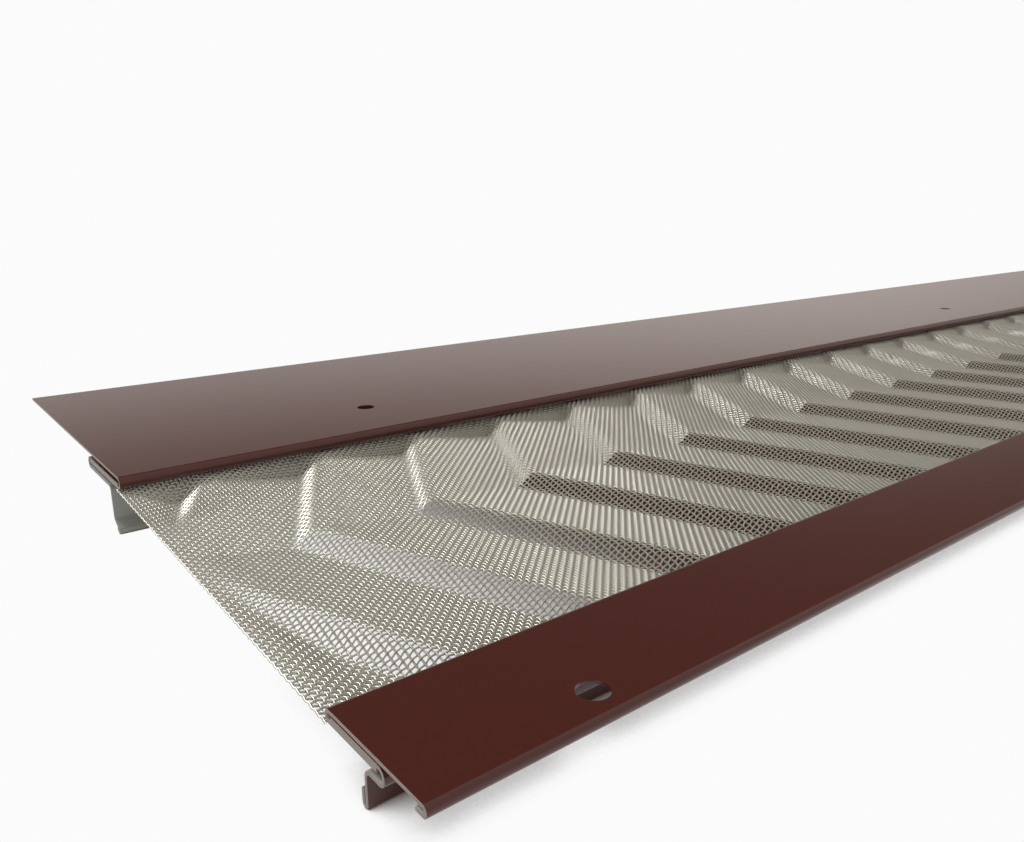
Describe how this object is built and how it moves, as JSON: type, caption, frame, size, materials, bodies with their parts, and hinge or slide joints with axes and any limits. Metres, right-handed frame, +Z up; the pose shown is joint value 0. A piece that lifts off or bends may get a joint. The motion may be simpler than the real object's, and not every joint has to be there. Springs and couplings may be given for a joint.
{
  "type": "gutter guard",
  "caption": "Straight length of gutter guard: pleated fine wire mesh clamped between a wide and a narrow folded strip, with screw holes and short legs below.",
  "frame": {"origin": "centre of the bounding box at floor level, under the legs", "axes": "+X along the length, +Y from the gutter's lip towards the roof, +Z up"},
  "size_m": [1.2192, 0.1456, 0.0095],
  "materials": {
    "brown_coated_steel": "brown coil coating, satin",
    "grey_backed_steel": "light grey back coat, satin",
    "stainless_mesh": "bright woven stainless wire"
  },
  "bodies": {
    "root": {"back_cover_strip": "brown_coated_steel", "back_leg_strip": "grey_backed_steel", "mesh_screen": "stainless_mesh", "front_cover_strip": "brown_coated_steel", "front_leg_strip": "grey_backed_steel"}
  },
  "joints": []
}
